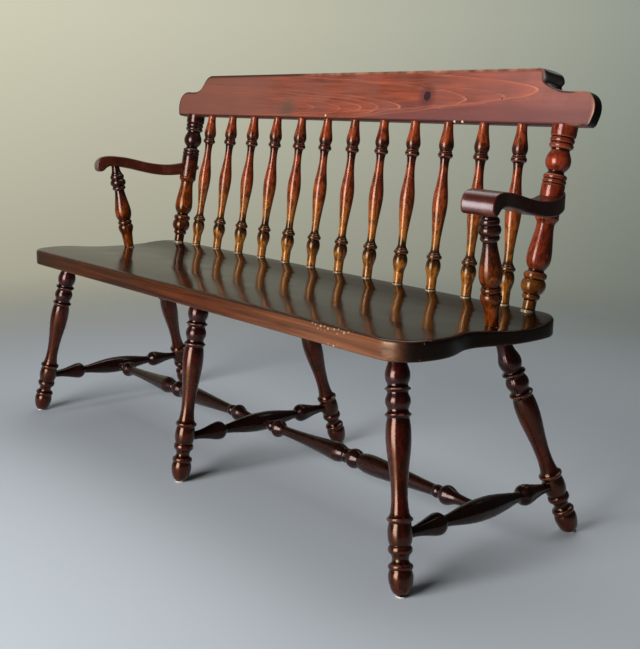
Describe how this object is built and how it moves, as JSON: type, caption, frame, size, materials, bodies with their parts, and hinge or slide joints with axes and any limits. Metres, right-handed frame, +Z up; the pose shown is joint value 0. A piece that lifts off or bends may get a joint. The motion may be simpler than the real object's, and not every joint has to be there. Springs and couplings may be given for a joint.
{
  "type": "deacons bench",
  "caption": "Long spindle-back bench: scooped plank seat, shaped crest rail, sawn arms on turned posts, splayed turned legs and stretchers.",
  "frame": {"origin": "on the floor, under the middle of the bounding box", "axes": "+X along the bench to the sitter-facing viewer's right, +Y from the front edge to the back, +Z up"},
  "size_m": [1.4444, 0.5058, 0.8963],
  "materials": {
    "seat": "dark red-brown stained wood under gloss lacquer, long grain along the bench",
    "crest": "red-brown stained pine under lacquer, flame grain with knots",
    "turning": "turned hardwood, dark red-brown stain, gloss lacquer",
    "spindle": "turned hardwood, red-brown stain worn to amber, gloss lacquer",
    "arm": "sawn hardwood, near-black red-brown stain, satin lacquer",
    "glide": "off-white foot glide",
    "screw": "plain steel wood screw"
  },
  "bodies": {
    "root": {"seat": "seat", "spindle_01": "spindle", "spindle_02": "spindle", "spindle_03": "spindle", "spindle_04": "spindle", "spindle_05": "spindle", "spindle_06": "spindle", "spindle_07": "spindle", "spindle_08": "spindle", "spindle_09": "spindle", "spindle_10": "spindle", "spindle_11": "spindle", "spindle_12": "spindle", "back_post_left": "turning", "back_post_right": "turning", "crest_rail": "crest", "arm_post_left": "spindle", "arm_post_right": "spindle", "arm_left": "arm", "arm_right": "arm", "arm_screw_left": "screw", "screw_button_left": "turning", "arm_screw_right": "screw", "screw_button_right": "turning", "leg_front_left": "turning", "leg_back_left": "turning", "leg_front_middle": "turning", "leg_back_middle": "turning", "leg_front_right": "turning", "leg_back_right": "turning", "glide_front_left": "glide", "glide_back_left": "glide", "glide_front_middle": "glide", "glide_back_middle": "glide", "glide_front_right": "glide", "glide_back_right": "glide", "cross_stretcher_left": "turning", "cross_stretcher_middle": "turning", "cross_stretcher_right": "turning", "long_stretcher_left": "turning", "long_stretcher_right": "turning"}
  },
  "joints": []
}
